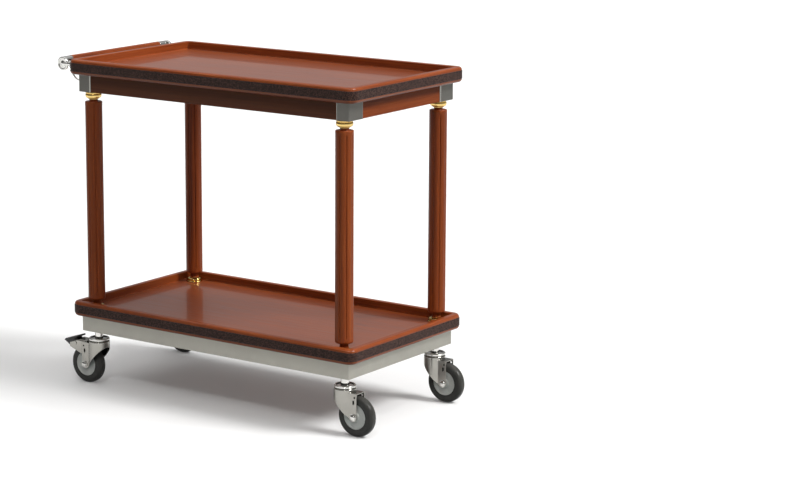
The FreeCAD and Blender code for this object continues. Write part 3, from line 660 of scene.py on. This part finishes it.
# Legs: the twist of each leg, in degrees, puts a groove or a reed towards the front
leg_reeds = {"count": 8, "radius": 22.0 * millimetre, "groove_width": 2.6 * millimetre,
             "groove_depth": 1.5 * millimetre, "fall": 0.7 * millimetre}
leg_twists = {"fl": 0.0, "fr": 4.5, "bl": 4.5, "br": 4.5}
neck_height = 7.5 * millimetre
neck_waist = 10.6 * millimetre
neck_foot = 12.0 * millimetre
shoulder_dish = 1.0 * millimetre
shoulder_rise = 0.4
shoulder_round = 2.4 * millimetre
foot_round = 4.5 * millimetre
plain_shoulder = 6.0 * millimetre
groove_run = 5.0 * millimetre
foot_drop = 6.0 * millimetre


def leg_end_rows(way, base, neck, corner_round):
    """From the end's face to the full reeding: waisted neck, dished shoulder, round corner, groove ends."""
    full = leg_reeds["radius"]
    rows = []
    for step in range(end_steps + 1):
        share = step / end_steps
        waist = (neck_foot - neck_waist) * (2 * share - 1) ** 2
        rows.append((neck * share, neck_waist + waist, 0.0))
    inner = full - corner_round
    rows.append((neck + shoulder_dish * shoulder_rise, (neck_foot + inner) / 2, 0.0))
    top = neck - shoulder_dish
    rows.append((top, inner - shoulder_dish, 0.0))
    rows += arc_rows(top, top + corner_round, inner, full)
    start = top + corner_round + plain_shoulder
    shares = [step / end_steps for step in range(end_steps + 1)]
    rows += [(start + groove_run * share, full, share) for share in shares]
    return [(base + way * height, radius, share) for height, radius, share in rows]


def make_leg(corner):
    """A reeded leg whose neck reaches down into the flatter collar at its foot."""
    name = "leg_" + corner
    low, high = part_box(name)
    rows = leg_end_rows(1, -foot_drop, neck_height + foot_drop, foot_round)
    rows += reversed(leg_end_rows(-1, high[2] - low[2], neck_height, shoulder_round))
    piece = reeded_piece(name + "_reeded", rows, leg_reeds)
    piece.data.transform(Matrix.Translation((*middle_of(low, high), low[2]))
                         @ Matrix.Rotation(math.radians(leg_twists[corner]), 4, "Z"))
    stand_in(piece, name)


# Handle bar
bar_reeds = {"count": 10, "radius": 9.5 * millimetre, "groove_width": 1.9 * millimetre,
             "groove_depth": 1.0 * millimetre, "fall": 0.45 * millimetre}
bar_round = 1.0 * millimetre
bar_plain = 3.0 * millimetre
bar_groove_run = 3.0 * millimetre
tenon_length = 14.0 * millimetre
tenon_radius = 5.5 * millimetre
tenon_hidden = 12.0 * millimetre


def make_bar(name):
    """The reeded bar, from the mouth of one ferrule to that of the other, with hidden tenons."""
    low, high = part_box(name)
    full = bar_reeds["radius"]
    half = (high[1] - low[1]) / 2 - tenon_length
    end = [(-half - tenon_hidden, tenon_radius, 0.0), (-half, tenon_radius, 0.0)]
    end += arc_rows(-half, -half + bar_round, full - bar_round, full)
    start = -half + bar_round + bar_plain
    shares = [step / end_steps for step in range(end_steps + 1)]
    end += [(start + bar_groove_run * share, full, share) for share in shares]
    rows = end + [(-height, radius, share) for height, radius, share in reversed(end)]
    piece = reeded_piece(name + "_reeded", rows, bar_reeds)
    piece.data.transform(Matrix.Translation(middle_of(low, high, axes=3))
                         @ Matrix.Rotation(-quarter_turn, 4, "X"))
    stand_in(piece, name)


# Turned collars
turned_steps = 64
bead_rows = 8
flange_height = 3.0 * millimetre
flange_reach = 20.8 * millimetre
foot_flange_reach = 21.8 * millimetre
collar_waist = 18.0 * millimetre
bead_start = 4.2 * millimetre
bead_crest = 9.3 * millimetre
foot_bead_crest = 7.0 * millimetre
mouth_radius = 13.2 * millimetre
mouth_height = 1.0 * millimetre


def collar_rows(reach, bead_reach, crest, height):
    """A turned collar from its seat: rounded flange, narrow waist, bead and mouth, as (height, radius)."""
    lip = flange_height / 2
    lip_turns = [math.pi * step / bead_rows for step in range(bead_rows + 1)]
    rows = [(lip - lip * math.cos(turn), reach - lip + lip * math.sin(turn)) for turn in lip_turns]
    rows += [(flange_height, collar_waist), (bead_start, collar_waist)]
    bead_end = height - mouth_height
    bead_turns = [quarter_turn * step / bead_rows for step in range(1, bead_rows + 1)]
    rows += [(bead_start + (crest - bead_start) * (1 - math.cos(turn)),
              collar_waist + (bead_reach - collar_waist) * math.sin(turn)) for turn in bead_turns]
    rows += [(crest + (bead_end - crest) * math.sin(turn),
              mouth_radius + (bead_reach - mouth_radius) * math.cos(turn)) for turn in bead_turns]
    return rows + [(height, mouth_radius)]


def add_turned(body, rows, place, way):
    """Adds a closed skin of revolution whose heights run up or down from its seat."""
    turns = [2 * math.pi * number / turned_steps for number in range(turned_steps)]
    rings = [[body.verts.new((place[0] + radius * math.cos(turn), place[1] + radius * math.sin(turn),
                              place[2] + way * height)) for turn in turns] for height, radius in rows]
    for low, high in zip(rings, rings[1:]):
        for number in range(turned_steps):
            after = (number + 1) % turned_steps
            body.faces.new((low[number], low[after], high[after], high[number]))
    body.faces.new(rings[0])
    body.faces.new(rings[-1])


def make_collars(name):
    """Tall collars under the corner blocks, and lower ones with a wider flange on the lower deck."""
    low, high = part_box(name)
    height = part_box("leg_fl")[0][2] - low[2]
    head = collar_rows(flange_reach, flange_reach, bead_crest, height)
    foot_bead_reach = flange_reach - flange_height / 2
    foot = collar_rows(foot_flange_reach, foot_bead_reach, foot_bead_crest, height - foot_drop)
    body = bmesh.new()
    for corner in corners:
        x, y = middle_of(*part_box("leg_" + corner))
        add_turned(body, foot, (x, y, low[2]), 1)
        add_turned(body, head, (x, y, high[2]), -1)
    bmesh.ops.recalc_face_normals(body, faces=body.faces)
    stand_in(new_piece(name + "_turned", finished_mesh(name + "_turned", body)), name)


# The trolley
for name in nodes:
    dress(name)
for corner in corners:
    make_leg(corner)
    make_block("corner_block_" + corner)
    softened("fork_" + corner, steel_edge)
    softened("axle_" + corner, fine_edge)
    softened("hub_" + corner, plate_edge)
for side in sides:
    softened("apron_rail_" + side, rail_edge)
for corner in braked_corners:
    softened("brake_housing_" + corner, plate_edge)
    softened("brake_pedal_" + corner, pedal_edge, pedal_segments)
for name in ("caster_plates", "handle_ferrules"):
    softened(name, plate_edge)
make_stems("caster_stems")
make_chassis("chassis_frame")
make_collars("leg_collars")
for tray in trays:
    make_cove(tray)
make_bar("handle_bar")


# Camera, light and floor
def direction(azimuth, elevation):
    """The unit vector towards a place in the sky."""
    across = math.radians(azimuth)
    up = math.radians(elevation)
    return Vector((math.cos(up) * math.cos(across), math.cos(up) * math.sin(across), math.sin(up)))


def make_camera():
    """The photograph's camera, by shift where its principal point is off the middle."""
    data = bpy.data.cameras.new("camera")
    data.sensor_width = sensor_width
    data.lens = focal_pixels * sensor_width / picture_width
    data.shift_x = (picture_width / 2 - principal_pixel[0]) / picture_width
    data.shift_y = (principal_pixel[1] - picture_height / 2) / picture_width
    data.clip_end = camera_reach
    camera = bpy.data.objects.new("camera", data)
    turn = (Matrix.Rotation(math.radians(camera_yaw), 4, "Z")
            @ Matrix.Rotation(math.radians(90 - camera_pitch), 4, "X")
            @ Matrix.Rotation(math.radians(camera_roll), 4, "Z"))
    camera.matrix_world = Matrix.Translation(camera_place) @ turn
    bpy.context.scene.collection.objects.link(camera)
    bpy.context.scene.camera = camera


def make_sun():
    """The broad key light that throws the soft shadow."""
    data = bpy.data.lights.new("key_light", "SUN")
    data.energy = sun_strength
    data.angle = math.radians(sun_angle)
    sun = bpy.data.objects.new("key_light", data)
    sun.rotation_mode = "QUATERNION"
    sun.rotation_quaternion = direction(sun_azimuth, sun_elevation).to_track_quat("Z", "Y")
    bpy.context.scene.collection.objects.link(sun)


def make_world():
    """Studio surroundings: brighter above, dark low down on one side, and a small high softbox."""
    world = bpy.data.worlds.new("studio")
    bpy.context.scene.world = world
    sky = Nodes(world)
    background = sky.tree.nodes["Background"]
    towards = sky.add("TexCoord").outputs["Generated"]
    height = sky.add("SeparateXYZ", None, Vector=towards).outputs[2]
    zenith = sky.fade(height, *zenith_heights, horizon_level, zenith_level)
    glow = sky.fade(height, *glow_heights, glow_level, 0.0)
    dimmed = sky.fade(sky.dot(towards, dark_side), *dark_shares, 1.0, dark_level)
    overhead = sky.fade(height, *overhead_heights)
    bright = sky.maths("ADD", zenith, glow)
    surroundings = sky.maths("MULTIPLY", bright, sky.maths("MAXIMUM", dimmed, overhead))
    to_softbox = sky.dot(towards, direction(softbox_azimuth, softbox_elevation))
    edge = math.cos(math.radians(softbox_edge))
    core = math.cos(math.radians(softbox_core))
    softbox = sky.fade(to_softbox, edge, core, 0.0, softbox_level)
    sky.put(background.inputs["Color"], white)
    sky.put(background.inputs["Strength"], sky.maths("ADD", surroundings, softbox))


def make_floor():
    """A plain white floor that keeps the shadow."""
    mesh = bpy.data.meshes.new("floor")
    reach = floor_half
    mesh.from_pydata([(-reach, -reach, 0), (reach, -reach, 0), (reach, reach, 0), (-reach, reach, 0)], [],
                     [(0, 1, 2, 3)])
    floor = new_piece("floor", mesh)
    material = bpy.data.materials.new("floor")
    look = Nodes(material)
    look.tree.nodes.remove(look.tree.nodes["Principled BSDF"])
    output = look.tree.nodes["Material Output"]
    rays = look.add("LightPath")
    mirrored = look.maths("MAXIMUM", rays.outputs["Is Glossy Ray"], rays.outputs["Is Transmission Ray"])
    seen = look.maths("MAXIMUM", rays.outputs["Is Camera Ray"], mirrored)
    diffuse = look.add("BsdfDiffuse", None, Color=look.blend(seen, floor_bounce, floor_seen))
    lift = look.add("Emission", None, Color=white, Strength=look.maths("MULTIPLY", seen, floor_lift))
    both = look.add("AddShader")
    look.put(both.inputs[0], diffuse.outputs[0])
    look.put(both.inputs[1], lift.outputs[0])
    look.put(output.inputs["Surface"], both.outputs[0])
    mesh.materials.append(material)


make_camera()
make_sun()
make_world()
make_floor()

bpy.context.scene.view_settings.view_transform = "Standard"
